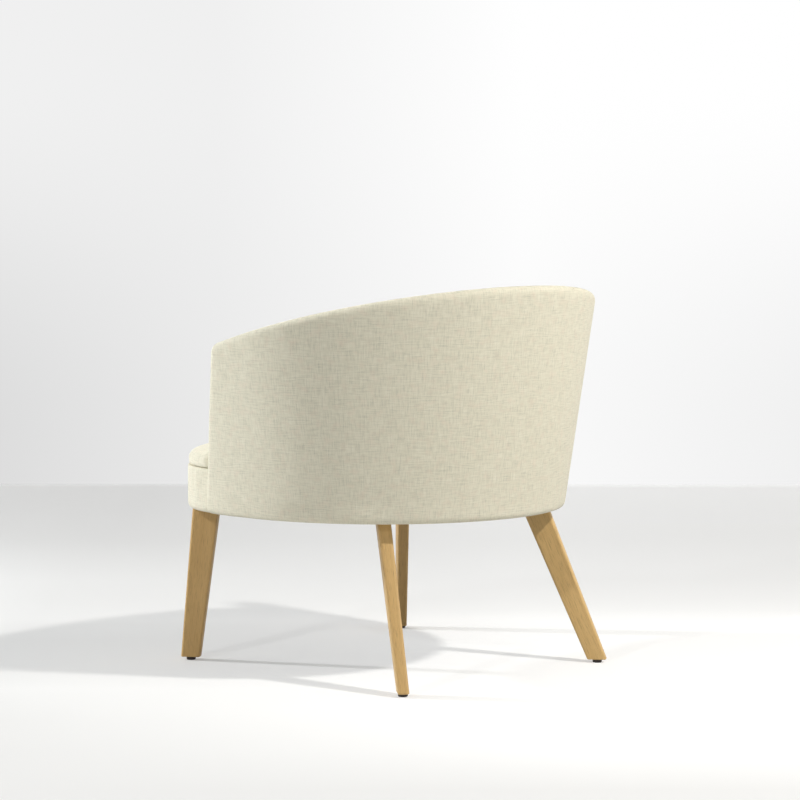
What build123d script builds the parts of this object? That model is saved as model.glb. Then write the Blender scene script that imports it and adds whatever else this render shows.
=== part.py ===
from build123d import *
from math import asin, atan2, cos, degrees, hypot, radians, sin, sqrt
import os

# Upholstered tub armchair on four splayed wooden legs, in millimetres.
# +Z is up and the floor is Z = 0; the sitter faces -Y, with the sitter's left at +X.
# The origin is on the floor, under the middle of the chair.

# Plan outline at the bottom edge of the tub
HALF_WIDTH = 359.0            # from the centre plane to the widest place
BACK_Y = 303.0                # rearmost point
FRONT_Y = -370.0              # foremost point
WIDE_Y = -107.0               # where the outline is widest
SIDE_RADIUS = 800.0           # gentle curve of the sides
FRONT_RADIUS = 1100.0         # gentle curve of the seat front
FRONT_CORNER_RADIUS = 195.0

# Tub: heights, lean and layers, with thicknesses measured level
BASE_Z = 304.0                # underside of the upholstery
RIM_BACK_Z = 744.5            # rim at the back
ARM_Z = 630.5                 # rim at the front of the arms
ARM_FOOT_Y = -172.5           # front of the arms at BASE_Z
ARM_TOP_Y = -98.0             # front of the arms at ARM_Z
RIM_CROWN = 3.5               # rise of the rim over its chord in side view
ARM_CORNER_RADIUS = 22.0      # top front corner of an arm in side view
OUTER_LEAN = 0.145            # outward lean of the outside, per unit of height
INNER_LEAN = 0.232            # outward lean of the inside
TUB_THICKNESS = 85.0          # tub wall at BASE_Z
COVER = 5.0                   # upholstery fabric with its backing of wadding
OUTER_PAD = 3.0               # foam outside the plywood
PLY = 12.0                    # bent plywood shell
PLY_LIFT = 6.0                # plywood's lower edge above BASE_Z
RIM_PAD = 16.0                # from the plywood's edge to the rim
RIM_RADIUS = 12.0             # rounding of the rim and the arm fronts
HEM_RADIUS = 10.0             # rounding of the tub's bottom edge
SEAM_DEPTH = 45.0             # seam between the outer and inner covers, at BASE_Z
SEAM_LEAN = 0.194             # outward lean of that seam

# Seat base
DECK_Z = 389.0                # top of the seat base, where the cushion lies
BORDER_INSET = 5.5            # seat front, inside the tub's outline
BORDER_TOP_RADIUS = 5.0
BORDER_BOTTOM_RADIUS = 11.0
BORDER_TURN = 28.0            # border cover turned in over the frame
HEM_TURN = 45.0               # covers turned in under the frame
RING_PLY = 18.0               # each plywood seat ring
RING_WIDTH = 75.0
WEBBING = 1.5
WEBBING_WIDTH = 50.0
WEBBING_PITCH = 80.0
WEBBING_COUNT = 6             # straps each way
LINING = 1.0
DUST_COVER = 1.0
LINING_INSET = 30.0           # edge of the webbing and its lining on the upper ring
BLOCK_LENGTH = 76.0           # leg block along the leg's wide direction
BLOCK_WIDTH = 58.0
NUT_ACCESS = 28.0             # bore through a leg block round the tee nut
SPACER_LENGTH = 90.0
SPACER_WIDTH = 40.0

# Seat cushion
CUSHION_EDGE = 33.0           # height at its edge
CUSHION_CROWN = 14.0          # further rise at its middle
CUSHION_TOP_RADIUS = 20.0
CUSHION_BOTTOM_RADIUS = 5.0
EAR_RADIUS = 26.0             # corners of the ears in front of the arms
NOTCH_RADIUS = 9.0            # corners where the cushion passes between the arms
UNDERSIDE_RISE = 8.0          # height of the seam round its underside

# Legs
FRONT_LEG_BEARING = -47.2         # round the centre of the outline's front corner, from the X axis
FRONT_LEG_INSET = 41.3            # middle of a front leg's top, inside the outline
FRONT_SPLAY = (20.7, -26.7)       # from a front leg's top to its foot, on the +X side
REAR_LEG_BEARING = 46.2           # round the centre of the outline's back
REAR_LEG_INSET = 61.0
REAR_SPLAY = (60.0, 116.0)
LEG_TURN = 52.0                   # wide direction of a leg's section from the X axis
LEG_TOP_SECTION = (53.0, 25.5)
LEG_FOOT_SECTION = (38.0, 21.0)
LEG_EDGE_RADIUS = 5.0
LEG_FOOT_EASE = 2.0

# Glides under the legs
GLIDE_DIAMETER = 18.0
GLIDE_HEIGHT = 6.0
GLIDE_EASE = 1.0
GLIDE_SCREW_DIAMETER = 4.0
GLIDE_SCREW_LENGTH = 18.0
GLIDE_HEAD_DIAMETER = 7.6
GLIDE_HEAD_HEIGHT = 2.6
GLIDE_HEAD_RECESS = 0.8           # from the floor up to the screw head

# Leg fixings
STUD_DIAMETER = 8.0
STUD_IN_LEG = 28.0
STUD_PROUD = 3.0                  # stud above the tee nut's flange
NUT_BARREL_DIAMETER = 10.0
NUT_BARREL_LENGTH = 11.0
NUT_FLANGE_DIAMETER = 22.0
NUT_FLANGE = 1.5
DOWEL_DIAMETER = 8.0
DOWEL_OFFSET = 14.0               # from the stud, outwards along the leg's wide direction
DOWEL_IN_LEG = 17.0
DOWEL_IN_RING = 12.0

# Screws through the plywood shell into the seat rings
SHELL_SCREW_DIAMETER = 5.0
SHELL_SCREW_LENGTH = 45.0
SHELL_HEAD_DIAMETER = 9.0
SHELL_HEAD_HEIGHT = 4.0
SHELL_SCREW_ANGLES = (20.0, 55.0, 90.0, 125.0, 160.0)

# Staples along the dust cover
STAPLE_CROWN = 10.0
STAPLE_WIRE = 1.2
STAPLE_LEG = 6.0
STAPLE_COUNT = 30
STAPLE_FROM_EDGE = 8.0

# Clearances
FIT = 0.1                         # round a screw, stud or dowel, on the radius
GAP = 0.3                         # between pieces laid against each other
CUSHION_GAP = 0.7                 # between the cushion and the tub
BEYOND = 60.0                     # how far a cutting shape runs past what it cuts

# Heights and insets that follow
RING_BOTTOM_Z = BASE_Z + COVER
LOWER_RING_TOP_Z = RING_BOTTOM_Z + RING_PLY
UPPER_RING_TOP_Z = DECK_Z - LINING - 2 * WEBBING
UPPER_RING_BOTTOM_Z = UPPER_RING_TOP_Z - RING_PLY
TOP_LIMIT_Z = RIM_BACK_Z + BEYOND
PLY_OUTSIDE = COVER + OUTER_PAD
PLY_INSIDE = PLY_OUTSIDE + PLY
RING_INSET = PLY_INSIDE + GAP
RING_INNER_INSET = RING_INSET + RING_WIDTH
RIM_BACK_Y = BACK_Y + OUTER_LEAN * (RIM_BACK_Z - BASE_Z)
ARM_RAKE = (ARM_TOP_Y - ARM_FOOT_Y) / (ARM_Z - BASE_Z)
CUSHION_Z = DECK_Z + GAP


def heading(start, end):
    """Direction from one point to another, in degrees."""
    return degrees(atan2(end[1] - start[1], end[0] - start[0]))


def meeting(centre_a, reach_a, centre_b, reach_b):
    """Point at reach_a from centre_a and reach_b from centre_b, on the right going from a to b."""
    span = hypot(centre_b[0] - centre_a[0], centre_b[1] - centre_a[1])
    unit = ((centre_b[0] - centre_a[0]) / span, (centre_b[1] - centre_a[1]) / span)
    along = (reach_a**2 - reach_b**2 + span**2) / (2 * span)
    aside = sqrt(reach_a**2 - along**2)
    return (
        centre_a[0] + along * unit[0] + aside * unit[1],
        centre_a[1] + along * unit[1] - aside * unit[0],
    )


def aside_of(centre, reach, bearing):
    """Point at a distance and a bearing from a centre."""
    return (centre[0] + reach * cos(radians(bearing)), centre[1] + reach * sin(radians(bearing)))


# The outline is six arcs, each tangent to the next
BACK_RUN = BACK_Y - WIDE_Y
SIDE_OFFSET = SIDE_RADIUS - HALF_WIDTH
BACK_RADIUS = (SIDE_RADIUS**2 - SIDE_OFFSET**2 - BACK_RUN**2) / (2 * (SIDE_RADIUS - BACK_RUN))
BACK_CENTRE = (0.0, BACK_Y - BACK_RADIUS)
SIDE_CENTRE = (-SIDE_OFFSET, WIDE_Y)
FRONT_CENTRE = (0.0, FRONT_Y + FRONT_RADIUS)
CORNER_CENTRE = meeting(
    SIDE_CENTRE, SIDE_RADIUS - FRONT_CORNER_RADIUS, FRONT_CENTRE, FRONT_RADIUS - FRONT_CORNER_RADIUS
)
FRONT_TANGENT = heading(FRONT_CENTRE, CORNER_CENTRE)
SIDE_TANGENT = heading(SIDE_CENTRE, CORNER_CENTRE)
BACK_TANGENT = heading(SIDE_CENTRE, BACK_CENTRE)
SIDE_FRONT_END = degrees(asin((FRONT_Y - WIDE_Y) / SIDE_RADIUS))
FRONT_LEG_TOP = aside_of(CORNER_CENTRE, FRONT_CORNER_RADIUS - FRONT_LEG_INSET, FRONT_LEG_BEARING)
REAR_LEG_TOP = aside_of(BACK_CENTRE, BACK_RADIUS - REAR_LEG_INSET, REAR_LEG_BEARING)


def outline(inset):
    """The plan outline as a face at Z = 0, drawn in by inset."""
    half = [
        (CORNER_CENTRE, FRONT_CORNER_RADIUS, FRONT_TANGENT, SIDE_TANGENT),
        (SIDE_CENTRE, SIDE_RADIUS, SIDE_TANGENT, BACK_TANGENT),
    ]
    mirrored = [((-c[0], c[1]), r, 180 - end, 180 - start) for c, r, start, end in half]
    back = (BACK_CENTRE, BACK_RADIUS, BACK_TANGENT, 180 - BACK_TANGENT)
    front = (FRONT_CENTRE, FRONT_RADIUS, -180 - FRONT_TANGENT, FRONT_TANGENT)
    arcs = half + [back] + mirrored[::-1] + [front]
    return make_face([CenterArc(c, r - inset, start, end - start) for c, r, start, end in arcs])


def tub_outline(inset):
    """The outline with its sides carried on to the front as they are, for the tub, drawn in by inset."""
    turn = BACK_TANGENT - SIDE_FRONT_END
    side = CenterArc(SIDE_CENTRE, SIDE_RADIUS - inset, SIDE_FRONT_END, turn)
    back = CenterArc(BACK_CENTRE, BACK_RADIUS - inset, BACK_TANGENT, 180 - 2 * BACK_TANGENT)
    far_side = CenterArc((SIDE_OFFSET, WIDE_Y), SIDE_RADIUS - inset, 180 - BACK_TANGENT, turn)
    return make_face([side, back, far_side, Line(far_side @ 1, side @ 0)])


def prism(inset, low, high):
    """Upright block with the outline drawn in by inset."""
    return extrude(Pos(0, 0, low) * outline(inset), high - low)


def blank(inset, lean):
    """Block that leans outwards, from BASE_Z up, inset inside the tub's outline at BASE_Z."""
    rise = TOP_LIMIT_Z - BASE_Z
    foot = Pos(0, 0, BASE_Z) * tub_outline(inset)
    head = Pos(0, 0, TOP_LIMIT_Z) * tub_outline(inset - lean * rise)
    return loft([foot, head], ruled=True)


def slab(low, high):
    """Block wider than the chair, between two heights."""
    reach = 4 * (HALF_WIDTH + BEYOND)
    return Pos(0, 0, (low + high) / 2) * Box(reach, reach, high - low)


def behind_arms(inset, low):
    """All that lies behind the arm fronts and under the rim in side view, drawn in by inset, above low."""
    foot = (ARM_FOOT_Y - ARM_RAKE * 2 * BEYOND, BASE_Z - 2 * BEYOND)
    arm_top = (ARM_TOP_Y, ARM_Z)
    back_top = (RIM_BACK_Y, RIM_BACK_Z)
    chord = hypot(back_top[0] - arm_top[0], back_top[1] - arm_top[1])
    crest = (
        (arm_top[0] + back_top[0]) / 2 - RIM_CROWN * (back_top[1] - arm_top[1]) / chord,
        (arm_top[1] + back_top[1]) / 2 + RIM_CROWN * (back_top[0] - arm_top[0]) / chord,
    )
    rim = ThreePointArc(arm_top, crest, back_top)
    end = rim @ 1 + 2 * BEYOND * (rim % 1)
    far_top = (end.X, end.Y)
    far_foot = (end.X, foot[1])
    tail = [Line(back_top, far_top), Line(far_top, far_foot), Line(far_foot, foot)]
    side = make_face([Line(foot, arm_top), rim] + tail)
    corner = side.vertices().sort_by_distance((*arm_top, 0))[0]
    side = fillet(corner, ARM_CORNER_RADIUS)
    if inset:
        side = offset(side, -inset)
    block = extrude(Plane.YZ * side, 2 * (HALF_WIDTH + BEYOND), both=True)
    return block & slab(low, TOP_LIMIT_Z + 2 * BEYOND)


def tub_block(shrink):
    """The tub before its edges are rounded, drawn in by shrink all round."""
    wall = blank(shrink, OUTER_LEAN) - blank(TUB_THICKNESS - shrink, INNER_LEAN)
    return wall & behind_arms(shrink, BASE_Z + shrink)


def inset_at(point):
    """How far a point beside or behind the seat lies inside the tub's outline, in plan."""
    centre, radius = SIDE_CENTRE, SIDE_RADIUS
    if heading(SIDE_CENTRE, (abs(point.X), point.Y)) > BACK_TANGENT:
        centre, radius = BACK_CENTRE, BACK_RADIUS
    return radius - hypot(abs(point.X) - centre[0], point.Y - centre[1])


def leaning_edges(body, inset, lean, low, high):
    """A body's edges on the leaning surface with that inset and lean, between two heights."""
    chosen = []
    for edge in body.edges():
        middle = edge @ 0.5
        astray = inset_at(middle) - inset + lean * (middle.Z - BASE_Z)
        sharp = edge.geom_type not in (GeomType.LINE, GeomType.BEZIER)
        if sharp and low < middle.Z < high and abs(astray) < FIT:
            chosen.append(edge)
    return chosen


def pin(x, y, low, high, diameter):
    """Upright cylinder between two heights."""
    return Pos(x, y, (low + high) / 2) * Cylinder(diameter / 2, high - low)


def leg_block(foot_x, foot_y, top_x, top_y, turn, growth):
    """A leg from its glide up to the lower seat ring, larger all round by growth."""
    foot = RectangleRounded(*[s + 2 * growth for s in LEG_FOOT_SECTION], LEG_EDGE_RADIUS + growth)
    top = RectangleRounded(*[s + 2 * growth for s in LEG_TOP_SECTION], LEG_EDGE_RADIUS + growth)
    foot_place = Pos(foot_x, foot_y, GLIDE_HEIGHT) * turn
    top_place = Pos(top_x, top_y, RING_BOTTOM_Z) * turn
    return loft([foot_place * foot, top_place * top], ruled=True)


parts = {}

# Legs, with each corner's leg top and the way to its foot
CORNERS = {
    "front_left": (1, -1, FRONT_LEG_TOP, FRONT_SPLAY),
    "front_right": (-1, -1, FRONT_LEG_TOP, FRONT_SPLAY),
    "rear_left": (1, 1, REAR_LEG_TOP, REAR_SPLAY),
    "rear_right": (-1, 1, REAR_LEG_TOP, REAR_SPLAY),
}
leg_tops, leg_rooms = [], []
studs, dowels, nuts, blocks, glide_screws = [], [], [], [], []
stud_holes, barrel_holes, dowel_holes = [], [], []
for corner, (side_x, side_y, top, splay) in CORNERS.items():
    turn = Rot(0, 0, LEG_TURN * side_x * side_y)
    top_x, top_y = side_x * top[0], top[1]
    foot_x, foot_y = top_x + side_x * splay[0], top_y + splay[1]
    leg_tops.append((top_x, top_y))
    leg = leg_block(foot_x, foot_y, top_x, top_y, turn, 0)
    leg = fillet(leg.faces().sort_by(Axis.Z)[0].edges(), LEG_FOOT_EASE)
    leg_rooms.append(leg_block(foot_x, foot_y, top_x, top_y, turn, GAP))

    # Glide and its screw
    head_top = GLIDE_HEAD_RECESS + GLIDE_HEAD_HEIGHT
    screw_top = head_top + GLIDE_SCREW_LENGTH
    glide = pin(foot_x, foot_y, 0, GLIDE_HEIGHT, GLIDE_DIAMETER)
    glide = chamfer(glide.edges().sort_by(Axis.Z)[0], GLIDE_EASE)
    glide -= pin(foot_x, foot_y, -BEYOND, head_top, GLIDE_HEAD_DIAMETER + 2 * FIT)
    glide -= pin(foot_x, foot_y, 0, GLIDE_HEIGHT + BEYOND, GLIDE_SCREW_DIAMETER + 2 * FIT)
    parts[corner + "_glide"] = glide
    screw = pin(foot_x, foot_y, GLIDE_HEAD_RECESS, head_top, GLIDE_HEAD_DIAMETER)
    screw += pin(foot_x, foot_y, head_top, screw_top, GLIDE_SCREW_DIAMETER)
    glide_screws.append(screw)
    leg -= pin(foot_x, foot_y, 0, screw_top + FIT, GLIDE_SCREW_DIAMETER + 2 * FIT)

    # Stud from the leg into a tee nut in the lower ring
    stud_low = RING_BOTTOM_Z - STUD_IN_LEG
    stud_high = LOWER_RING_TOP_Z + NUT_FLANGE + STUD_PROUD
    studs.append(pin(top_x, top_y, stud_low, stud_high, STUD_DIAMETER))
    stud_hole = pin(top_x, top_y, stud_low - FIT, stud_high + FIT, STUD_DIAMETER + 2 * FIT)
    stud_holes.append(stud_hole)
    barrel_low = LOWER_RING_TOP_Z - NUT_BARREL_LENGTH
    nut = pin(top_x, top_y, barrel_low, LOWER_RING_TOP_Z, NUT_BARREL_DIAMETER)
    nut += pin(top_x, top_y, LOWER_RING_TOP_Z, LOWER_RING_TOP_Z + NUT_FLANGE, NUT_FLANGE_DIAMETER)
    nuts.append(nut - stud_hole)
    barrel_holes.append(
        pin(top_x, top_y, barrel_low - FIT, LOWER_RING_TOP_Z + BEYOND, NUT_BARREL_DIAMETER + 2 * FIT)
    )

    # Dowel that stops the leg turning
    dowel_x = top_x + side_x * DOWEL_OFFSET * cos(radians(LEG_TURN))
    dowel_y = top_y + side_y * DOWEL_OFFSET * sin(radians(LEG_TURN))
    dowel_low = RING_BOTTOM_Z - DOWEL_IN_LEG
    dowel_high = RING_BOTTOM_Z + DOWEL_IN_RING
    dowels.append(pin(dowel_x, dowel_y, dowel_low, dowel_high, DOWEL_DIAMETER))
    dowel_hole = pin(dowel_x, dowel_y, dowel_low - FIT, dowel_high + FIT, DOWEL_DIAMETER + 2 * FIT)
    dowel_holes.append(dowel_hole)
    parts[corner + "_leg"] = leg - stud_hole - dowel_hole

    # Block over the leg, between the seat rings
    block_height = UPPER_RING_BOTTOM_Z - LOWER_RING_TOP_Z
    block_place = Pos(top_x, top_y, LOWER_RING_TOP_Z + block_height / 2) * turn
    block = block_place * Box(BLOCK_LENGTH, BLOCK_WIDTH, block_height)
    block &= prism(RING_INSET, LOWER_RING_TOP_Z, UPPER_RING_BOTTOM_Z)
    blocks.append(block - pin(top_x, top_y, 0, TOP_LIMIT_Z, NUT_ACCESS))
parts["glide_screws"] = Compound(glide_screws)
parts["leg_studs"] = Compound(studs)
parts["tee_nuts"] = Compound(nuts)
parts["leg_dowels"] = Compound(dowels)
parts["leg_blocks"] = Compound(blocks)

# Spacers between the seat rings, at the middles of the front, back and sides
spacer_depth = RING_INSET + SPACER_WIDTH / 2
spacer_places = (
    (0.0, FRONT_Y + spacer_depth, 0.0),
    (0.0, BACK_Y - spacer_depth, 0.0),
    (HALF_WIDTH - spacer_depth, WIDE_Y, 90.0),
    (spacer_depth - HALF_WIDTH, WIDE_Y, 90.0),
)
spacer_z = (LOWER_RING_TOP_Z + UPPER_RING_BOTTOM_Z) / 2
spacer_height = UPPER_RING_BOTTOM_Z - LOWER_RING_TOP_Z
spacers = []
for x, y, turn in spacer_places:
    spacer = Pos(x, y, spacer_z) * Rot(0, 0, turn) * Box(SPACER_LENGTH, SPACER_WIDTH, spacer_height)
    spacers.append(spacer & prism(RING_INSET, LOWER_RING_TOP_Z, UPPER_RING_BOTTOM_Z))
parts["ring_spacers"] = Compound(spacers)

# Screws that hold the plywood shell on the two rings
shell_screws, shell_screw_holes = [], []
for ring_z in ((RING_BOTTOM_Z + LOWER_RING_TOP_Z) / 2, (UPPER_RING_BOTTOM_Z + UPPER_RING_TOP_Z) / 2):
    ply_reach = BACK_RADIUS - PLY_OUTSIDE + OUTER_LEAN * (ring_z - SHELL_HEAD_DIAMETER / 2 - BASE_Z)
    for angle in SHELL_SCREW_ANGLES:
        aim = Vector(cos(radians(angle)), sin(radians(angle)), 0)
        head_end = Vector(*BACK_CENTRE, ring_z) + aim * ply_reach
        inward = Plane(head_end, z_dir=-aim)
        head = Pos(0, 0, SHELL_HEAD_HEIGHT / 2) * Cylinder(SHELL_HEAD_DIAMETER / 2, SHELL_HEAD_HEIGHT)
        shank_middle = SHELL_HEAD_HEIGHT + SHELL_SCREW_LENGTH / 2
        shank = Pos(0, 0, shank_middle) * Cylinder(SHELL_SCREW_DIAMETER / 2, SHELL_SCREW_LENGTH)
        shell_screws.append(inward * (head + shank))
        pocket_length = SHELL_HEAD_HEIGHT + PLY
        pocket_middle = SHELL_HEAD_HEIGHT - pocket_length / 2
        pocket = Pos(0, 0, pocket_middle) * Cylinder(SHELL_HEAD_DIAMETER / 2 + FIT, pocket_length)
        bore_length = SHELL_SCREW_LENGTH + 2 * FIT
        bore = Pos(0, 0, shank_middle) * Cylinder(SHELL_SCREW_DIAMETER / 2 + FIT, bore_length)
        shell_screw_holes.append(inward * (pocket + bore))
parts["shell_screws"] = Compound(shell_screws)

# Staples along the edge of the dust cover, left out where a leg stands
staples, staple_holes = [], []
staple_line = outline(HEM_TURN + GAP + STAPLE_FROM_EDGE).wire()
leg_reach = hypot(*LEG_TOP_SECTION) / 2 + STAPLE_CROWN
for index in range(STAPLE_COUNT):
    place = staple_line @ ((index + 0.5) / STAPLE_COUNT)
    along = staple_line % ((index + 0.5) / STAPLE_COUNT)
    if min(hypot(place.X - x, place.Y - y) for x, y in leg_tops) < leg_reach:
        continue
    seat = Pos(place.X, place.Y, RING_BOTTOM_Z - DUST_COVER) * Rot(0, 0, degrees(atan2(along.Y, along.X)))
    crown = Pos(0, 0, -STAPLE_WIRE / 2) * Box(STAPLE_CROWN, STAPLE_WIRE, STAPLE_WIRE)
    prong_x = (STAPLE_CROWN - STAPLE_WIRE) / 2
    prong = Pos(prong_x, 0, STAPLE_LEG / 2) * Box(STAPLE_WIRE, STAPLE_WIRE, STAPLE_LEG)
    staples.append(seat * (crown + prong + mirror(prong, Plane.YZ)))
    hole_width = STAPLE_WIRE + 2 * FIT
    hole = Pos(prong_x, 0, STAPLE_LEG / 2) * Box(hole_width, hole_width, STAPLE_LEG + 2 * FIT)
    staple_holes += [seat * hole, seat * mirror(hole, Plane.YZ)]
parts["dust_cover_staples"] = Compound(staples)

# Seat rings; the upper one is wider between the arms, where the shell leans out
lower_ring = prism(RING_INSET, RING_BOTTOM_Z, LOWER_RING_TOP_Z)
lower_ring -= prism(RING_INNER_INSET, RING_BOTTOM_Z, LOWER_RING_TOP_Z)
lower_ring = lower_ring - stud_holes - barrel_holes - dowel_holes
parts["lower_seat_ring"] = lower_ring - shell_screw_holes - staple_holes
wide_inset = RING_INSET - OUTER_LEAN * (UPPER_RING_BOTTOM_Z - BASE_Z)
wide_part = prism(wide_inset, UPPER_RING_BOTTOM_Z, UPPER_RING_TOP_Z) & behind_arms(GAP, BASE_Z)
upper_ring = prism(RING_INSET, UPPER_RING_BOTTOM_Z, UPPER_RING_TOP_Z) + wide_part
upper_ring -= prism(RING_INNER_INSET, UPPER_RING_BOTTOM_Z, UPPER_RING_TOP_Z)
parts["upper_seat_ring"] = upper_ring - shell_screw_holes

# Webbing and its lining
lengthwise_z = UPPER_RING_TOP_Z + WEBBING / 2
crosswise_z = lengthwise_z + WEBBING
strap_length = 4 * HALF_WIDTH
deck_middle = (FRONT_Y + BACK_Y) / 2
deck = prism(LINING_INSET, UPPER_RING_TOP_Z, DECK_Z)
lengthwise, crosswise = [], []
for index in range(WEBBING_COUNT):
    aside = (index - (WEBBING_COUNT - 1) / 2) * WEBBING_PITCH
    lengthwise_strap = Pos(aside, 0, lengthwise_z) * Box(WEBBING_WIDTH, strap_length, WEBBING)
    lengthwise.append(lengthwise_strap & deck)
    crosswise_place = Pos(0, deck_middle + aside, crosswise_z)
    crosswise_strap = crosswise_place * Box(strap_length, WEBBING_WIDTH, WEBBING)
    crosswise.append(crosswise_strap & deck)
parts["lengthwise_webbing"] = Compound(lengthwise)
parts["crosswise_webbing"] = Compound(crosswise)
parts["deck_lining"] = prism(LINING_INSET, DECK_Z - LINING, DECK_Z)

# Plywood shell
above_deck = slab(DECK_Z, TOP_LIMIT_Z + BEYOND)
below_deck = slab(RING_BOTTOM_Z, DECK_Z)
ply_outer = blank(PLY_OUTSIDE, OUTER_LEAN)
ply_inner = blank(PLY_INSIDE, OUTER_LEAN)
shell = (ply_outer - ply_inner) & behind_arms(RIM_PAD, BASE_Z + PLY_LIFT)
parts["plywood_shell"] = shell - shell_screw_holes

# Padding of the tub: wadding wrapped round the plywood, and foam inside that
seam = blank(SEAM_DEPTH, SEAM_LEAN)
frame_room = ply_inner & below_deck
padded = tub_block(COVER)
parts["shell_wadding"] = padded - seam - shell - frame_room
parts["inner_padding"] = padded & seam & above_deck

# Covers of the tub, sewn together along the seam
skin = tub_block(0) - padded
outer_cover = skin - seam - frame_room - leg_rooms
rim = leaning_edges(outer_cover, 0, OUTER_LEAN, BASE_Z + GAP, TOP_LIMIT_Z)
outer_cover = fillet(rim, RIM_RADIUS)
hem = leaning_edges(outer_cover, 0, OUTER_LEAN, BASE_Z - GAP, BASE_Z + GAP)
parts["outer_cover"] = fillet(hem, HEM_RADIUS)
inner_cover = skin & seam & above_deck
rim = leaning_edges(inner_cover, TUB_THICKNESS, INNER_LEAN, DECK_Z + GAP, TOP_LIMIT_Z)
parts["inner_cover"] = fillet(rim, RIM_RADIUS)

# Border round the front of the seat base
tub_room = behind_arms(-GAP, BASE_Z - BEYOND)
border_block = prism(BORDER_INSET, BASE_Z, DECK_Z)
border_block = fillet(border_block.faces().sort_by(Axis.Z)[-1].edges(), BORDER_TOP_RADIUS)
border_block = fillet(border_block.faces().sort_by(Axis.Z)[0].edges(), BORDER_BOTTOM_RADIUS)
border_core = prism(BORDER_INSET + COVER, RING_BOTTOM_Z, UPPER_RING_TOP_Z)
border_cover = border_block - border_core - tub_room - leg_rooms
border_cover -= prism(HEM_TURN, BASE_Z, LOWER_RING_TOP_Z)
parts["border_cover"] = border_cover - prism(BORDER_TURN, LOWER_RING_TOP_Z, DECK_Z)
parts["border_padding"] = border_core - tub_room - prism(PLY_INSIDE, RING_BOTTOM_Z, UPPER_RING_TOP_Z)

# Dust cover under the seat
dust_cover = prism(HEM_TURN + GAP, RING_BOTTOM_Z - DUST_COVER, RING_BOTTOM_Z)
parts["dust_cover"] = dust_cover - leg_rooms - staple_holes

# Seat cushion, with ears in front of the arms
ear_y = ARM_FOOT_Y + ARM_RAKE * (DECK_Z - BASE_Z) - CUSHION_GAP
ear_room = Pos(0, ear_y - 2 * HALF_WIDTH, 0) * Rectangle(4 * HALF_WIDTH, 4 * HALF_WIDTH)
between_arms = outline(TUB_THICKNESS - INNER_LEAN * (DECK_Z - BASE_Z) + CUSHION_GAP)
cushion_plan = (outline(BORDER_INSET) & ear_room) + between_arms
cushion_plan = offset(offset(cushion_plan, -EAR_RADIUS), EAR_RADIUS)
cushion_plan = offset(offset(cushion_plan, NOTCH_RADIUS), -NOTCH_RADIUS)


def cushion_block(shrink):
    """The cushion with its crown, before its edges are rounded, drawn in by shrink all round."""
    plan = offset(cushion_plan, -shrink) if shrink else cushion_plan
    low = CUSHION_Z + shrink
    crown_z = CUSHION_Z + CUSHION_EDGE + CUSHION_CROWN
    radius = (HALF_WIDTH**2 + CUSHION_CROWN**2) / (2 * CUSHION_CROWN)
    block = extrude(Pos(0, 0, low) * plan, crown_z + BEYOND - low)
    return block & Pos(0, deck_middle, crown_z - radius) * Sphere(radius - shrink)


def crown_edges(body, shrink):
    """The edges round the crown of the cushion's surface that is drawn in by shrink."""
    level = CUSHION_Z + CUSHION_EDGE + CUSHION_CROWN - shrink
    crowns = body.faces().filter_by(GeomType.SPHERE)
    return crowns.sort_by(lambda f: abs(f.bounding_box().max.Z - level))[0].edges()


cushion_core = cushion_block(COVER)
parts["cushion_foam"] = fillet(crown_edges(cushion_core, COVER), CUSHION_TOP_RADIUS - COVER)
cushion_skin = cushion_block(0) - cushion_core
underside_room = slab(BASE_Z, CUSHION_Z + UNDERSIDE_RISE)
cushion_cover = cushion_skin - underside_room
cushion_cover = fillet(crown_edges(cushion_cover, COVER), CUSHION_TOP_RADIUS - COVER)
parts["cushion_cover"] = fillet(crown_edges(cushion_cover, 0), CUSHION_TOP_RADIUS)
underside = cushion_skin & underside_room
parts["cushion_underside"] = fillet(underside.faces().sort_by(Axis.Z)[0].edges(), CUSHION_BOTTOM_RADIUS)

os.makedirs("parts", exist_ok=True)
for name, shape in parts.items():
    export_step(shape, f"parts/{name}.step")
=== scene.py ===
from math import radians

import bpy
import numpy as np
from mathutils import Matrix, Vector


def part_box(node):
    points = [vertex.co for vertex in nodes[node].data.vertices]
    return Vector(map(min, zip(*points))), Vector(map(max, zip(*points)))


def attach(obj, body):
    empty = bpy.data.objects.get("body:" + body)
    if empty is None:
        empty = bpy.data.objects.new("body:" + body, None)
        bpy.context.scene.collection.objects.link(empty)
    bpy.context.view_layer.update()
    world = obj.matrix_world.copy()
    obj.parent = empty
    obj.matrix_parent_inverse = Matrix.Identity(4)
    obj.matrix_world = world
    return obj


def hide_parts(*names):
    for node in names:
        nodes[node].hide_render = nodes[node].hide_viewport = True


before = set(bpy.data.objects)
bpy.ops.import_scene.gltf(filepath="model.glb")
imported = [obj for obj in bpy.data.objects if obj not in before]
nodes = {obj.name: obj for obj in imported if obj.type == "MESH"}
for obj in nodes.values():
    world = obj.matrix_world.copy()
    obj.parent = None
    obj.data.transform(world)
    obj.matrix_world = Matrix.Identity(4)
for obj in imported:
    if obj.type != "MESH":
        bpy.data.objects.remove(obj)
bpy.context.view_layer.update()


# Seat frame: two rings of birch plywood, with the bent plywood shell of the tub screwed to them.
# It is hidden by the upholstery. The veneers show as stripes at a cut edge, and each face has a
# light straight grain.
VENEER = 0.0015
BIRCH_LIGHT = (226, 205, 168)
BIRCH_DARK = (196, 166, 122)
VENEER_CONTRAST = 0.4
BIRCH_GRAIN = 0.6
BAND_SHARE = 0.55
STREAK_SHARE = 0.45
PORE_SINK = 0.6
CROSSWISE = (0.0, radians(90), 0.0)


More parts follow.
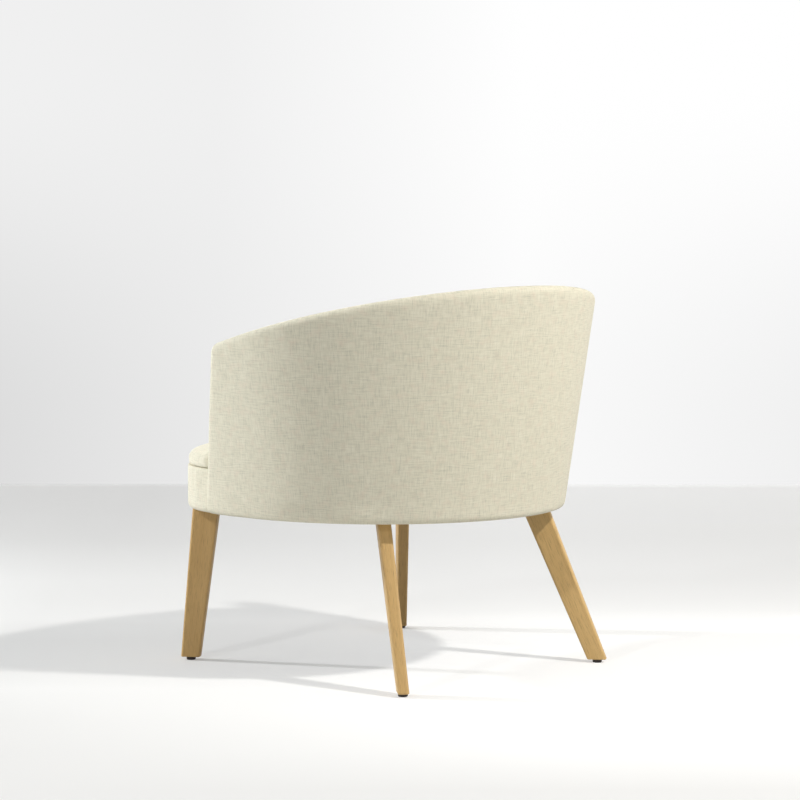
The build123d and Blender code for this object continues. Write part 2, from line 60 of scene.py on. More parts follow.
def tint(red, green, blue):
    """A colour as a screen shows it, 0 to 255, in the values that a shader takes."""
    shares = [value / 255 for value in (red, green, blue)]
    linear = [s / 12.92 if s <= 0.04045 else ((s + 0.055) / 1.055) ** 2.4 for s in shares]
    return (*linear, 1.0)


def put(tree, kind, inputs=None, **settings):
    """Adds a node to a tree, with its settings, and sets or links its inputs."""
    made = tree.nodes.new(kind)
    for name, value in settings.items():
        setattr(made, name, value)
    for name, value in (inputs or {}).items():
        if isinstance(value, bpy.types.NodeSocket):
            tree.links.new(value, made.inputs[name])
        else:
            made.inputs[name].default_value = value
    return made


def sum_of(tree, operation, first, second=0.0):
    """One step of arithmetic on values in a tree."""
    return put(tree, "ShaderNodeMath", {0: first, 1: second}, operation=operation).outputs[0]


def between(tree, share, low, high):
    """A colour between two others, by a share from 0 to 1."""
    mix = put(tree, "ShaderNodeMix", {"Factor": share}, data_type="RGBA")
    for socket, colour in ((mix.inputs[6], low), (mix.inputs[7], high)):
        if isinstance(colour, bpy.types.NodeSocket):
            tree.links.new(colour, socket)
        else:
            socket.default_value = colour
    return mix.outputs[2]


def stretched_noise(tree, place, stretch, detail):
    """Noise from 0 to 1 over a place in metres, with a count of blotches a metre each way."""
    spread = put(tree, "ShaderNodeMapping", {"Vector": place, "Scale": stretch})
    blotches = {"Vector": spread.outputs[0], "Scale": 1.0, "Detail": detail}
    return put(tree, "ShaderNodeTexNoise", blotches).outputs["Fac"]


def new_group(name, inputs, outputs):
    """An empty shader node group, with the nodes for its inputs and outputs."""
    group = bpy.data.node_groups.new(name, "ShaderNodeTree")
    for label in inputs:
        group.interface.new_socket(label, in_out="INPUT", socket_type="NodeSocketVector")
    for label in outputs:
        group.interface.new_socket(label, in_out="OUTPUT", socket_type="NodeSocketFloat")
    return group, group.nodes.new("NodeGroupInput"), group.nodes.new("NodeGroupOutput")


def new_finish(name, roughness):
    """A material with one shader, and its tree."""
    finish = bpy.data.materials.new(name)
    finish.use_nodes = True
    shader = finish.node_tree.nodes["Principled BSDF"]
    shader.inputs["Roughness"].default_value = roughness
    return finish, finish.node_tree, shader


def feed(tree, shader, colour, height=None, depth=0.0):
    """Links a colour, and a bump of a depth in metres, to a shader."""
    tree.links.new(colour, shader.inputs["Base Color"])
    if height is not None:
        bump = put(tree, "ShaderNodeBump", {"Height": height, "Distance": depth, "Strength": 1.0})
        tree.links.new(bump.outputs[0], shader.inputs["Normal"])


def object_place(tree, turn=(0.0, 0.0, 0.0)):
    """The place on a piece in metres, turned so that its long way is Z."""
    where = put(tree, "ShaderNodeTexCoord").outputs["Object"]
    return put(tree, "ShaderNodeMapping", {"Vector": where, "Rotation": turn}).outputs[0]


def dress(names, finish):
    """Gives CAD nodes a finish."""
    for name in names:
        for slot in nodes[name].material_slots:
            slot.material = finish


# Straight grain of timber along Z, for every wooden piece
grain_group, grain_in, grain_out = new_group(
    "straight_grain", ["Place"], ["Growth", "Pores", "Height"]
)
timber_place = grain_in.outputs[0]
growth = stretched_noise(grain_group, timber_place, stretch=(85.0, 85.0, 2.2), detail=3.0)
fibres = stretched_noise(grain_group, timber_place, stretch=(620.0, 620.0, 9.0), detail=2.0)
pores = stretched_noise(grain_group, timber_place, stretch=(1500.0, 1500.0, 45.0), detail=1.0)
pore_range = {"Value": pores, "From Min": 0.58, "From Max": 0.72}
open_pores = put(grain_group, "ShaderNodeMapRange", pore_range).outputs[0]
bands = sum_of(grain_group, "MULTIPLY", growth, BAND_SHARE)
streaks = sum_of(grain_group, "MULTIPLY", fibres, STREAK_SHARE)
grain_group.links.new(sum_of(grain_group, "ADD", bands, streaks), grain_out.inputs["Growth"])
grain_group.links.new(open_pores, grain_out.inputs["Pores"])
sunk = sum_of(grain_group, "MULTIPLY", open_pores, -PORE_SINK)
grain_group.links.new(sum_of(grain_group, "ADD", fibres, sunk), grain_out.inputs["Height"])


def grain_at(tree, place):
    """The straight grain at a place on a piece."""
    return put(tree, "ShaderNodeGroup", {"Place": place}, node_tree=grain_group).outputs


plywood, tree, shader = new_finish("birch_plywood", roughness=0.62)
place = object_place(tree)
grain = grain_at(tree, object_place(tree, CROSSWISE))
height_on_edge = put(tree, "ShaderNodeSeparateXYZ", {"Vector": place}).outputs["Z"]
layer = sum_of(tree, "FRACT", sum_of(tree, "DIVIDE", height_on_edge, 2 * VENEER))
stripe = sum_of(tree, "MULTIPLY", sum_of(tree, "GREATER_THAN", layer, 0.5), VENEER_CONTRAST)
share = sum_of(tree, "ADD", stripe, sum_of(tree, "MULTIPLY", grain["Growth"], BIRCH_GRAIN))
colour = between(tree, share, tint(*BIRCH_DARK), tint(*BIRCH_LIGHT))
feed(tree, shader, colour, grain["Height"], depth=0.0001)
dress(["lower_seat_ring", "upper_seat_ring", "plywood_shell"], plywood)


# Blocks over the legs and spacers between the rings, of beech, glued in; the dowels are beech too.
# Beech is pinkish, with a close grain and short darker flecks.
BEECH_LIGHT = (218, 182, 146)
BEECH_DARK = (186, 142, 104)
FLECK_SHARE = 0.35

beech, tree, shader = new_finish("plain_beech", roughness=0.58)
grain = grain_at(tree, object_place(tree, CROSSWISE))
tone = between(tree, grain["Growth"], tint(*BEECH_DARK), tint(*BEECH_LIGHT))
fleck = sum_of(tree, "MULTIPLY", grain["Pores"], FLECK_SHARE)
feed(tree, shader, between(tree, fleck, tone, tint(*BEECH_DARK)), grain["Height"], depth=0.00008)
dress(["leg_blocks", "ring_spacers", "leg_dowels"], beech)


# Fixings: studs, tee nuts, screws and staples of zinc-plated steel.
# The plating is satin, with a faint mottle that changes its gloss.
ZINC = (176, 179, 180)
ZINC_DULL = (142, 146, 148)

zinc, tree, shader = new_finish("zinc_plated_steel", roughness=0.4)
shader.inputs["Metallic"].default_value = 1.0
mottle = stretched_noise(tree, object_place(tree), stretch=(420.0, 420.0, 420.0), detail=3.0)
feed(tree, shader, between(tree, mottle, tint(*ZINC_DULL), tint(*ZINC)), mottle, depth=0.00003)
satin = put(tree, "ShaderNodeMapRange", {"Value": mottle, "To Min": 0.3, "To Max": 0.5})
tree.links.new(satin.outputs[0], shader.inputs["Roughness"])
dress(["leg_studs", "tee_nuts", "shell_screws", "glide_screws", "dust_cover_staples"], zinc)


# Seat webbing: elastic straps woven in dark brown, six each way, stapled to the upper ring.
# A plain woven lining lies over them, under the cushion.
WEBBING_DARK = (58, 50, 42)
WEBBING_LIGHT = (96, 84, 70)
LINING_DARK = (196, 190, 176)
LINING_LIGHT = (222, 217, 205)
SOFT_CROSSING = 0.25
THREAD_STEP = 3.7
THREAD_RUN = 0.045


def value_between(tree, share, low, high):
    """A value between two others, by a share from 0 to 1."""
    ends = {"Factor": share, 2: low, 3: high}
    return put(tree, "ShaderNodeMix", ends, data_type="FLOAT").outputs[0]


# Plain weave, for the linen, the straps and the lining; the place is in threads
weave_group, weave_in, weave_out = new_group(
    "plain_weave", ["Threads"], ["Over", "Thread", "Height"]
)
crossing = put(weave_group, "ShaderNodeSeparateXYZ", {"Vector": weave_in.outputs[0]})
warp_at, weft_at = crossing.outputs["X"], crossing.outputs["Y"]
warp_wave = sum_of(weave_group, "SINE", sum_of(weave_group, "MULTIPLY", warp_at, np.pi))
weft_wave = sum_of(weave_group, "SINE", sum_of(weave_group, "MULTIPLY", weft_at, np.pi))
turns = sum_of(weave_group, "MULTIPLY", warp_wave, weft_wave)
over_range = {"Value": turns, "From Min": -SOFT_CROSSING, "From Max": SOFT_CROSSING}
over = put(weave_group, "ShaderNodeMapRange", over_range).outputs[0]
warp_side = put(weave_group, "ShaderNodeCombineXYZ", {
    "X": sum_of(weave_group, "MULTIPLY", sum_of(weave_group, "FLOOR", warp_at), THREAD_STEP),
    "Y": sum_of(weave_group, "MULTIPLY", weft_at, THREAD_RUN),
})
weft_side = put(weave_group, "ShaderNodeCombineXYZ", {
    "X": sum_of(weave_group, "MULTIPLY", warp_at, THREAD_RUN),
    "Y": sum_of(weave_group, "MULTIPLY", sum_of(weave_group, "FLOOR", weft_at), THREAD_STEP),
})
warp_tone = stretched_noise(weave_group, warp_side.outputs[0], stretch=(1.0, 1.0, 1.0), detail=3.0)
weft_tone = stretched_noise(weave_group, weft_side.outputs[0], stretch=(1.0, 1.0, 1.0), detail=3.0)
thread = value_between(weave_group, over, weft_tone, warp_tone)
warp_swell = sum_of(weave_group, "ABSOLUTE", warp_wave)
weft_swell = sum_of(weave_group, "ABSOLUTE", weft_wave)
swell = value_between(weave_group, over, weft_swell, warp_swell)
weave_group.links.new(over, weave_out.inputs["Over"])
weave_group.links.new(thread, weave_out.inputs["Thread"])
weave_group.links.new(swell, weave_out.inputs["Height"])


def weave_at(tree, place, pitch):
    """The plain weave at a place in metres, with its threads a pitch apart."""
    spread = {"Vector": place, "Scale": (1 / pitch, 1 / pitch, 1.0)}
    threads = put(tree, "ShaderNodeMapping", spread).outputs[0]
    return put(tree, "ShaderNodeGroup", {"Threads": threads}, node_tree=weave_group).outputs


strap_cloth, tree, shader = new_finish("elastic_webbing", roughness=0.85)
weave = weave_at(tree, object_place(tree), pitch=0.0022)
colour = between(tree, weave["Thread"], tint(*WEBBING_DARK), tint(*WEBBING_LIGHT))
feed(tree, shader, colour, weave["Height"], depth=0.0005)
dress(["lengthwise_webbing", "crosswise_webbing"], strap_cloth)

lining_cloth, tree, shader = new_finish("seat_lining", roughness=0.95)
weave = weave_at(tree, object_place(tree), pitch=0.0007)
colour = between(tree, weave["Thread"], tint(*LINING_DARK), tint(*LINING_LIGHT))
feed(tree, shader, colour, weave["Height"], depth=0.0002)
dress(["deck_lining"], lining_cloth)


# Legs: four splayed legs of light oak, tapering to the foot, with eased edges and a clear matt oil.
# The grain runs straight down each leg; fine open pores darken it in short lines. Each leg's tone
# is
# shifted by painted light and shade: the rear right leg lighter, the front legs darker in the
# seat's shade.
LEG_RISE = 0.303
FRONT_SPLAY = (0.0207, -0.0267)
REAR_SPLAY = (0.060, 0.116)
OAK_LIGHT = (226, 190, 128)
OAK_DARK = (188, 149, 90)
OAK_PORE = (128, 92, 50)
PORE_SHARE = 0.5
UP = Vector((0.0, 0.0, 1.0))

# The last number in each row lightens or darkens the leg's oak as painted light and shade.
for corner, side_x, splay, painted_light_tone in (
    ("front_left", 1, FRONT_SPLAY, -0.1),
    ("front_right", -1, FRONT_SPLAY, -0.25),
    ("rear_left", 1, REAR_SPLAY, 0.0),
    ("rear_right", -1, REAR_SPLAY, 0.3),
):
    up_leg = Vector((-side_x * splay[0], -splay[1], LEG_RISE))
    turn = up_leg.rotation_difference(UP).to_euler()
    oak, tree, shader = new_finish(corner + "_oak", roughness=0.5)
    grain = grain_at(tree, object_place(tree, tuple(turn)))
    # Painted light and shade shifts the oak's tone here.
    growth = sum_of(tree, "ADD", grain["Growth"], painted_light_tone)
    tone = between(tree, growth, tint(*OAK_DARK), tint(*OAK_LIGHT))
    pore = sum_of(tree, "MULTIPLY", grain["Pores"], PORE_SHARE)
    feed(tree, shader, between(tree, pore, tone, tint(*OAK_PORE)), grain["Height"], depth=0.00012)
    oil_range = {"Value": grain["Growth"], "To Min": 0.58, "To Max": 0.42}
    oiled = put(tree, "ShaderNodeMapRange", oil_range)
    tree.links.new(oiled.outputs[0], shader.inputs["Roughness"])
    dress([corner + "_leg"], oak)


# Glides: a moulded dark brown plastic disc screwed under each foot.
# The moulding is matt, with a fine grain and some paler scuffs.
GLIDE_BROWN = (38, 28, 22)
GLIDE_SCUFF = (70, 58, 48)

glide_plastic, tree, shader = new_finish("moulded_glide", roughness=0.55)
mould = stretched_noise(tree, object_place(tree), stretch=(900.0, 900.0, 900.0), detail=2.0)
scuffs = stretched_noise(tree, object_place(tree), stretch=(160.0, 160.0, 160.0), detail=4.0)
worn = put(tree, "ShaderNodeMapRange", {"Value": scuffs, "From Min": 0.55, "From Max": 0.75})
colour = between(tree, worn.outputs[0], tint(*GLIDE_BROWN), tint(*GLIDE_SCUFF))
feed(tree, shader, colour, mould, depth=0.00008)
glides = [corner + "_glide" for corner in ("front_left", "front_right", "rear_left", "rear_right")]
dress(glides, glide_plastic)


# Tub cover: linen over wadding on the outside of the shell and over foam inside, as one closed form
# without a seam line. The cloth is drawn tight and stapled under the frame, so it lies smooth, with
# hardly a ripple.
THREAD = 0.00105
LINEN_PALE = (244, 240, 221)
LINEN_MID = (230, 225, 203)
LINEN_GREY = (203, 200, 180)
LINEN_WARM = (233, 217, 196)
FINE_CELL = 0.0018
COVER_CELL = 0.005
TUB_MIDDLE_Y = -0.053
TUB_ROUND = 0.36
SLUB_SHARE = 0.6
THREAD_SHARE = 0.4
WELD = 0.00001
TINY = 1e-9

linen, tree, shader = new_finish("slub_linen", roughness=0.92)
shader.inputs["Sheen Weight"].default_value = 0.15
shader.inputs["Sheen Roughness"].default_value = 0.6
shader.inputs["Specular IOR Level"].default_value = 0.25
cloth_place = put(tree, "ShaderNodeUVMap", uv_map="cloth").outputs[0]
weave = weave_at(tree, cloth_place, THREAD)
upright_slubs = stretched_noise(tree, cloth_place, stretch=(420.0, 48.0, 1.0), detail=2.0)
level_slubs = stretched_noise(tree, cloth_place, stretch=(44.0, 400.0, 1.0), detail=2.0)
heather = stretched_noise(tree, cloth_place, stretch=(60.0, 60.0, 1.0), detail=4.0)
slubs = value_between(tree, weave["Over"], level_slubs, upright_slubs)
slub_tone = sum_of(tree, "MULTIPLY", slubs, SLUB_SHARE)
thread_tone = sum_of(tree, "MULTIPLY", weave["Thread"], THREAD_SHARE)
tone = sum_of(tree, "ADD", slub_tone, thread_tone)
ramp = put(tree, "ShaderNodeValToRGB", {"Fac": tone})
ramp.color_ramp.elements[0].position = 0.34
ramp.color_ramp.elements[0].color = tint(*LINEN_GREY)
ramp.color_ramp.elements[1].position = 0.68
ramp.color_ramp.elements[1].color = tint(*LINEN_PALE)
ramp.color_ramp.elements.new(0.5).color = tint(*LINEN_MID)
warm_range = {"Value": heather, "From Min": 0.5, "From Max": 0.8, "To Max": 0.45}
warm = put(tree, "ShaderNodeMapRange", warm_range)
linen_colour = between(tree, warm.outputs[0], ramp.outputs[0], tint(*LINEN_WARM))
raised = sum_of(tree, "ADD", weave["Height"], slubs)
feed(tree, shader, linen_colour, raised, depth=0.00014)


def padded_form(name, sources, cell):
    """One closed form over copies of CAD nodes; fine cells first clear the walls between."""
    bpy.ops.object.select_all(action="DESELECT")
    for source in sources:
        copy = bpy.data.objects.new(name, nodes[source].data.copy())
        bpy.context.collection.objects.link(copy)
        copy.select_set(True)
        bpy.context.view_layer.objects.active = copy
    bpy.ops.object.join()
    piece = bpy.context.view_layer.objects.active
    piece.name = name
    bpy.ops.object.mode_set(mode="EDIT")
    bpy.ops.mesh.select_all(action="SELECT")
    bpy.ops.mesh.remove_doubles(threshold=WELD)
    bpy.ops.object.mode_set(mode="OBJECT")
    for size in (FINE_CELL, cell):
        piece.data.remesh_voxel_size = size
        bpy.ops.object.voxel_remesh()
    return piece


def pick(piece):
    """Makes a piece the only one selected, and the active one."""
    bpy.ops.object.select_all(action="DESELECT")
    piece.select_set(True)
    bpy.context.view_layer.objects.active = piece


def apply_modifier(piece, kind, **settings):
    """Adds a modifier to a piece and applies it."""
    pick(piece)
    made = piece.modifiers.new(kind.lower(), kind)
    for name, value in settings.items():
        setattr(made, name, value)
    bpy.ops.object.modifier_apply(modifier=made.name)


def rows_of(items, field):
    """A field of a mesh's corners or faces, as rows of X, Y and Z."""
    values = np.zeros(len(items) * 3, np.float32)
    items.foreach_get(field, values)
    return values.reshape(-1, 3)


def corners_of(piece):
    """The places of a piece's corners."""
    return rows_of(piece.data.vertices, "co")


def lay_linen(piece, flat_top, seam_ahead):
    """Lays the cloth on a piece, each face by the two of round, out and up that it runs along."""
    mesh = piece.data
    places = corners_of(piece)
    across, ahead = places[:, 0], places[:, 1] - TUB_MIDDLE_Y
    reach = np.hypot(across, ahead)
    round_way = TUB_ROUND * np.arctan2(across, -ahead if seam_ahead else ahead)
    normals = rows_of(mesh.polygons, "normal")
    centres = rows_of(mesh.polygons, "center")
    outwards = centres[:, :2] - (0.0, TUB_MIDDLE_Y)
    outwards /= np.linalg.norm(outwards, axis=1, keepdims=True) + TINY
    facing_out = np.abs((normals[:, :2] * outwards).sum(1))
    facing_up = np.abs(normals[:, 2])
    facing_along = np.sqrt(np.clip(1 - facing_out**2 - facing_up**2, 0, 1))
    corner = np.zeros(len(mesh.loops), np.int32)
    mesh.loops.foreach_get("vertex_index", corner)
    sides = np.zeros(len(mesh.polygons), np.int32)
    mesh.polygons.foreach_get("loop_total", sides)
    chosen = np.repeat(np.argmax([facing_out, facing_along, facing_up], axis=0), sides)
    level = places[:, :2] if flat_top else np.stack([round_way, reach], 1)
    ways = [
        np.stack([round_way, places[:, 2]], 1),
        np.stack([reach, places[:, 2]], 1),
        level,
    ]
    spread = np.choose(chosen[:, None], [way[corner] for way in ways])
    layer = mesh.uv_layers.new(name="cloth")
    layer.data.foreach_set("uv", spread.astype(np.float32).ravel())


def upholster(piece, replaced, flat_top=False, seam_ahead=False):
    """Covers a padded piece with linen and sets it in the frame in place of its CAD nodes."""
    pick(piece)
    bpy.ops.object.shade_smooth()
    lay_linen(piece, flat_top, seam_ahead)
    piece.data.materials.clear()
    piece.data.materials.append(linen)
    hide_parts(*replaced)
    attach(piece, "root")


tub_nodes = ["outer_cover", "shell_wadding", "inner_cover", "inner_padding"]
tub = padded_form("tub_cover", tub_nodes + ["plywood_shell"], COVER_CELL)
apply_modifier(tub, "SMOOTH", factor=0.5, iterations=6)
upholster(tub, tub_nodes)


# Seat border: linen over thin foam round the front of the seat base, stapled under the frame.
# It meets the tub at the arm fronts, and the cushion lies on its top edge.
BORDER_CELL = 0.004
EDGE_DEPTH = 0.010


def press_flat(piece, level, depth):
    """Squares a piece's edge where it is pressed at a level, over a depth up or down from there."""
    places = corners_of(piece)
    share = np.clip((places[:, 2] - level) / depth, 0, 1)
    pressed = share < 1
    places[pressed, 2] = level + depth * share[pressed] ** 2
    piece.data.vertices.foreach_set("co", places.ravel())
    piece.data.update()


border_nodes = ["border_cover", "border_padding"]
border = padded_form("seat_border", border_nodes, BORDER_CELL)
apply_modifier(border, "SMOOTH", factor=0.5, iterations=4)
border_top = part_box("border_cover")[1].z
press_flat(border, border_top, -EDGE_DEPTH)
upholster(border, border_nodes, flat_top=True, seam_ahead=True)


# Seat cushion: a linen cover sewn round a foam core, loose on the seat, with ears before the arms.
# The foam fills it tightly, so it crowns at the middle and swells a little between its seams.
CUSHION_CELL = 0.005
TAKEN_IN = 0.002
SWELL = 0.004
SEAM_HEIGHT = 0.008
SEAM_WIDTH = 0.004
SEAM_PINCH = 0.0008
EAR_SWELL = 0.004
SEAM_FACING = 0.7
EAR_BLEND = 0.015
FILLING_PRESSURE = 4.0
FILLING_FRAMES = 20

cushion_nodes = ["cushion_cover", "cushion_underside", "cushion_foam"]
cushion = padded_form("seat_cushion", cushion_nodes, CUSHION_CELL)
cushion_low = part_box("cushion_underside")[0].z
apply_modifier(cushion, "SMOOTH", factor=0.5, iterations=4)
apply_modifier(cushion, "DISPLACE", strength=-TAKEN_IN, mid_level=0.0)
at_rest = corners_of(cushion)
filling = cushion.modifiers.new("filling", "CLOTH")
filling.settings.use_pressure = True
filling.settings.uniform_pressure_force = FILLING_PRESSURE
filling.settings.effector_weights.gravity = 0.0
filling.point_cache.frame_end = FILLING_FRAMES
for moment in range(1, FILLING_FRAMES + 1):
    bpy.context.scene.frame_set(moment)
bpy.context.view_layer.objects.active = cushion
bpy.ops.object.modifier_apply(modifier=filling.name)
bpy.context.scene.frame_set(1)
moved = corners_of(cushion) - at_rest
length = np.linalg.norm(moved, axis=1, keepdims=True)
moved *= np.minimum(1.0, SWELL / np.maximum(length, TINY))
cushion.data.vertices.foreach_set("co", (at_rest + moved).ravel())

# The seam round the underside is drawn in, the ears swell out before the arms, where nothing holds
# them, and the cushion lies flat on the seat
cushion.data.update()
places = corners_of(cushion)
facing = rows_of(cushion.data.vertices, "normal")
from_seam = np.abs(places[:, 2] - cushion_low - SEAM_HEIGHT) / SEAM_WIDTH
pinch = SEAM_PINCH * np.clip(1 - from_seam, 0, 1) * (np.abs(facing[:, 2]) < SEAM_FACING)
places -= facing * pinch[:, None]
before_arms = np.clip((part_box("outer_cover")[0].y - places[:, 1]) / EAR_BLEND, 0, 1)
places[:, :2] += facing[:, :2] * (EAR_SWELL * before_arms)[:, None]
cushion.data.vertices.foreach_set("co", places.ravel())
press_flat(cushion, cushion_low, EDGE_DEPTH)
upholster(cushion, cushion_nodes, flat_top=True, seam_ahead=True)


# Dust cover: black non-woven cloth stapled under the seat frame, slack between the staples.
# The legs come through cut-outs at its corners.
DUST_CELL = 0.008
DUST_SAG = 0.004
DUST_THICKNESS = 0.0008
SPARE_CELLS = 4
RAY_DROP = 0.1
DUST_BLACK = (34, 34, 36)
DUST_GREY = (62, 62, 64)

dust_low, dust_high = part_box("dust_cover")
dust_size = dust_high - dust_low
bpy.ops.object.select_all(action="DESELECT")
bpy.ops.mesh.primitive_grid_add(
    x_subdivisions=round(dust_size.x / DUST_CELL) + SPARE_CELLS,
    y_subdivisions=round(dust_size.y / DUST_CELL) + SPARE_CELLS,
    size=1.0,
    location=((dust_low.x + dust_high.x) / 2, (dust_low.y + dust_high.y) / 2, dust_low.z),
)
dust = bpy.context.active_object
dust.name = "seat_dust_cover"
spare = SPARE_CELLS * DUST_CELL
dust.scale = (dust_size.x + spare, dust_size.y + spare, 1.0)
bpy.ops.object.transform_apply(location=True, rotation=True, scale=True)
cut = nodes["dust_cover"]
over_cut = [
    cut.ray_cast(corner.co - UP * RAY_DROP, UP, distance=2 * RAY_DROP)[0]
    for corner in dust.data.vertices
]
bpy.ops.object.mode_set(mode="EDIT")
bpy.ops.mesh.select_mode(type="FACE")
bpy.ops.mesh.select_all(action="DESELECT")
bpy.ops.object.mode_set(mode="OBJECT")
for face in dust.data.polygons:
    face.select = not any(over_cut[index] for index in face.vertices)
bpy.ops.object.mode_set(mode="EDIT")
bpy.ops.mesh.delete(type="FACE")
bpy.ops.object.mode_set(mode="OBJECT")
for corner in dust.data.vertices:
    edge_place = cut.closest_point_on_mesh(corner.co)[1]
    corner.co.x, corner.co.y = edge_place.x, edge_place.y
for corner in dust.data.vertices:
    share = 1 - min(1.0, Vector((corner.co.x, corner.co.y)).length / (dust_size.x / 2))
    corner.co.z -= DUST_SAG * share
apply_modifier(dust, "SOLIDIFY", thickness=DUST_THICKNESS, offset=-1.0)
bpy.ops.object.shade_smooth_by_angle(angle=radians(40))

dust_cloth, tree, shader = new_finish("non_woven_cloth", roughness=0.95)
web = stretched_noise(tree, object_place(tree), stretch=(700.0, 700.0, 700.0), detail=4.0)
clumps = stretched_noise(tree, object_place(tree), stretch=(90.0, 90.0, 90.0), detail=3.0)
felted = sum_of(tree, "MULTIPLY", sum_of(tree, "ADD", web, clumps), 0.5)
feed(tree, shader, between(tree, felted, tint(*DUST_BLACK), tint(*DUST_GREY)), web, depth=0.0002)
dust.data.materials.append(dust_cloth)
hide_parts("dust_cover")
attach(dust, "root")


# Studio: a pale floor that meets a pale wall behind the chair.
# The camera sees a glow over the floor's paint and only a glow on the wall, so shadows stay soft.
# Both are clear from behind, so they don't hide the chair from any side.
VIEW_TURN = radians(136.069)
FLOOR_END = 3.47
STAGE_WIDTH = 24.0
FLOOR_DEPTH = 20.0
WALL_HEIGHT = 12.0
FLOOR_BLEND = (-0.8, 0.3)
WALL_BLEND = (0.15, 1.35)
FLOOR_PAINT = (210, 210, 209)
WALL_PAINT = (214, 214, 214)
BLACK = (0.0, 0.0, 0.0, 1.0)
# Glow levels along the floor are painted light and shade: brighter to the right and towards the
# wall, with a dip where the chair's shadow falls on the left.
FLOOR_LEFT_TONES = (
    (-1.15, 117), (-0.86, 108), (-0.6, 108), (-0.3, 122), (-0.12, 104), (0.25, 86), (0.45, 92),
    (0.52, 100), (0.82, 102), (1.15, 113), (1.94, 117), (2.5, 132), (3.36, 146), (3.47, 158),
)
FLOOR_RIGHT_TONES = (
    (-1.15, 122), (-0.86, 155), (-0.6, 170), (-0.3, 178), (0.5, 172), (0.66, 157), (0.82, 151),
    (1.15, 148), (1.94, 154), (2.5, 164), (3.36, 177), (3.47, 196),
)
WALL_LOW_TONES = ((-1.4, 220), (0.4, 250), (1.4, 240))
WALL_HIGH_TONES = ((-0.6, 240), (0.4, 255))

away = Vector((-np.sin(VIEW_TURN), np.cos(VIEW_TURN), 0.0))
rightwards = Vector((np.cos(VIEW_TURN), np.sin(VIEW_TURN), 0.0))
bpy.ops.object.select_all(action="DESELECT")
bpy.ops.mesh.primitive_plane_add(size=1.0)
floor = bpy.context.active_object
floor.name = "studio_floor"
floor.scale = (STAGE_WIDTH, FLOOR_DEPTH, 1.0)
floor.rotation_euler = (0.0, 0.0, VIEW_TURN)
floor.location = away * (FLOOR_END - FLOOR_DEPTH / 2)
wall_middle = away * FLOOR_END + UP * (WALL_HEIGHT / 2)
bpy.ops.mesh.primitive_plane_add(size=1.0, location=wall_middle)
wall = bpy.context.active_object
wall.name = "studio_wall"
wall.scale = (STAGE_WIDTH, WALL_HEIGHT, 1.0)
wall.rotation_euler = (radians(90), 0.0, VIEW_TURN)


def share_along(tree, way, low, high, shape="LINEAR"):
    """A share from 0 to 1 along a direction in the studio, between two distances."""
    where = put(tree, "ShaderNodeNewGeometry").outputs["Position"]
    along = put(tree, "ShaderNodeVectorMath", {0: where, 1: way}, operation="DOT_PRODUCT")
    ends = {"Value": along.outputs["Value"], "From Min": low, "From Max": high}
    return put(tree, "ShaderNodeMapRange", ends, interpolation_type=shape).outputs[0]


def tones_along(tree, way, tones):
    """Greys along a direction in the studio, each given with its distance."""
    low, high = tones[0][0], tones[-1][0]
    ramp = put(tree, "ShaderNodeValToRGB", {"Fac": share_along(tree, way, low, high)})
    stops = ramp.color_ramp.elements
    stops[0].color = tint(*[tones[0][1]] * 3)
    stops[1].color = tint(*[tones[-1][1]] * 3)
    for distance, grey in tones[1:-1]:
        stops.new((distance - low) / (high - low)).color = tint(grey, grey, grey)
    return ramp.outputs[0]


def paint_stage(piece, name, paint, paint_seen, glow_of):
    """Paints a stage piece matt, with a glow for views and reflections only; clear from behind."""
    finish, tree, shader = new_finish(name, roughness=0.95)
    shader.inputs["Specular IOR Level"].default_value = 0.0
    ray = put(tree, "ShaderNodeLightPath")
    seen = sum_of(tree, "MAXIMUM", ray.outputs["Is Camera Ray"], ray.outputs["Is Glossy Ray"])
    seen = sum_of(tree, "MAXIMUM", seen, ray.outputs["Is Transmission Ray"])
    tree.links.new(between(tree, seen, paint, paint_seen), shader.inputs["Base Color"])
    light = put(tree, "ShaderNodeEmission", {"Color": glow_of(tree), "Strength": seen})
    both = put(tree, "ShaderNodeAddShader", {0: shader.outputs[0], 1: light.outputs[0]})
    behind = put(tree, "ShaderNodeNewGeometry").outputs["Backfacing"]
    clear = put(tree, "ShaderNodeBsdfTransparent")
    shown = put(tree, "ShaderNodeMixShader", {0: behind, 1: both.outputs[0], 2: clear.outputs[0]})
    tree.links.new(shown.outputs[0], tree.nodes["Material Output"].inputs["Surface"])
    piece.data.materials.append(finish)


def floor_glow(tree):
    """Painted light and shade that evens out the lamps: stronger on the camera's right and towards
    the wall, weaker where the chair's shadow falls on the left.
    """
    left = tones_along(tree, away, FLOOR_LEFT_TONES)
    right = tones_along(tree, away, FLOOR_RIGHT_TONES)
    return between(tree, share_along(tree, rightwards, *FLOOR_BLEND), left, right)


def wall_glow(tree):
    """Paler upwards and to the right."""
    low = tones_along(tree, rightwards, WALL_LOW_TONES)
    high = tones_along(tree, rightwards, WALL_HIGH_TONES)
    return between(tree, share_along(tree, UP, *WALL_BLEND, "SMOOTHSTEP"), low, high)


paint_stage(floor, "floor_paint", tint(*FLOOR_PAINT), tint(*FLOOR_PAINT), floor_glow)
paint_stage(wall, "wall_paint", tint(*WALL_PAINT), BLACK, wall_glow)


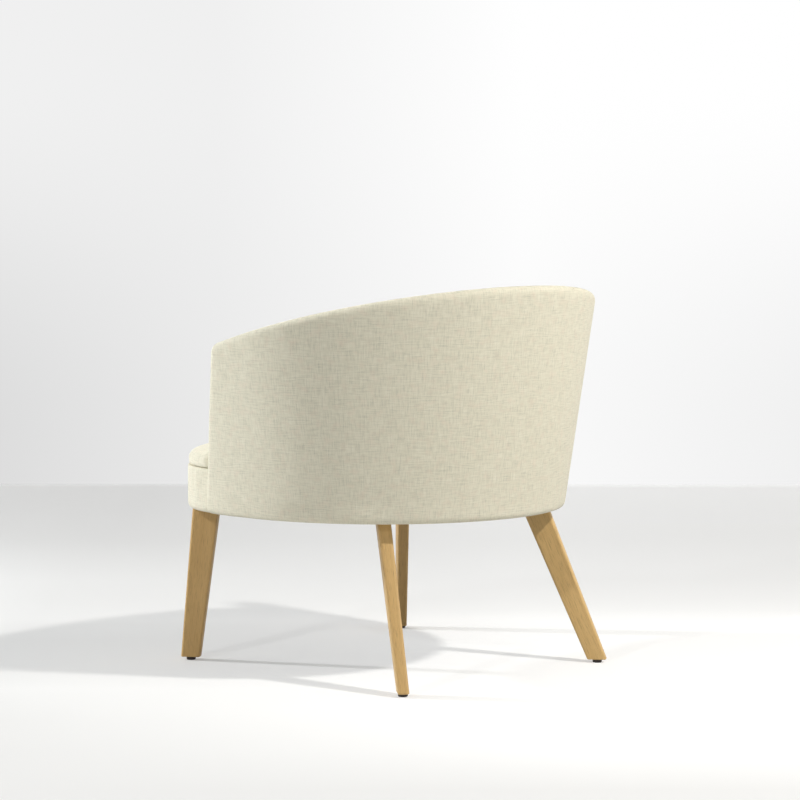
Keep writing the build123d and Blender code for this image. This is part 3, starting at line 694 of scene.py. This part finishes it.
# Light: an even pale world and round lamps that face the chair, each given by its bearing from the
# camera's side towards its right, height angle, distance, level on the chair, width and colour. The
# small lamps draw the shadows; a broad soft one stands further off on each side.
WORLD_LEVEL = 0.22
LAMP_AIM = Vector((0.0, 0.0, 0.35))
WARM_LIGHT = (1.0, 0.975, 0.935)
COOL_LIGHT = (0.965, 0.985, 1.0)
PLAIN_LIGHT = (1.0, 1.0, 1.0)

world = bpy.data.worlds.new("studio_light")
bpy.context.scene.world = world
world.use_nodes = True
sky = world.node_tree.nodes["Background"]
sky.inputs["Color"].default_value = (*PLAIN_LIGHT, 1.0)
sky.inputs["Strength"].default_value = WORLD_LEVEL

for lamp_name, bearing, elevation, distance, level, width, colour in (
    ("main_lamp", 60.7, 44.1, 3.57, 2.1, 0.25, WARM_LIGHT),
    ("main_soft_lamp", 95.0, 20.0, 6.0, 0.4, 4.0, WARM_LIGHT),
    ("left_lamp", -103.3, 21.6, 2.92, 1.6, 0.12, COOL_LIGHT),
    ("left_soft_lamp", -96.0, 22.0, 6.0, 0.75, 4.0, COOL_LIGHT),
    ("left_near_lamp", -33.0, 25.0, 4.0, 0.5, 0.12, PLAIN_LIGHT),
):
    lamp_data = bpy.data.lights.new(lamp_name, "AREA")
    lamp_data.shape = "DISK"
    lamp_data.size = width
    lamp_data.energy = level * np.pi * distance**2
    lamp_data.color = colour
    lamp = bpy.data.objects.new(lamp_name, lamp_data)
    bpy.context.collection.objects.link(lamp)
    turn, rise = radians(bearing), radians(elevation)
    level_way = rightwards * np.sin(turn) - away * np.cos(turn)
    towards_lamp = level_way * np.cos(rise) + UP * np.sin(rise)
    lamp.location = LAMP_AIM + towards_lamp * distance
    lamp.rotation_euler = towards_lamp.to_track_quat("Z", "Y").to_euler()
    lamp.visible_camera = False


# Camera: at the photograph's place, low behind the chair's left rear corner.
# Its lens, place and drop were fitted to the chair's outline.
CAMERA_PLACE = (3.4185, 3.5430, 0.8403)
CAMERA_DROP = 3.81

camera_data = bpy.data.cameras.new("camera")
camera_data.lens = 114.0
camera_data.sensor_width = 36.0
camera = bpy.data.objects.new("camera", camera_data)
bpy.context.collection.objects.link(camera)
camera.location = CAMERA_PLACE
camera.rotation_euler = (radians(90 - CAMERA_DROP), 0.0, VIEW_TURN)
bpy.context.scene.camera = camera
bpy.context.scene.view_settings.view_transform = "Standard"
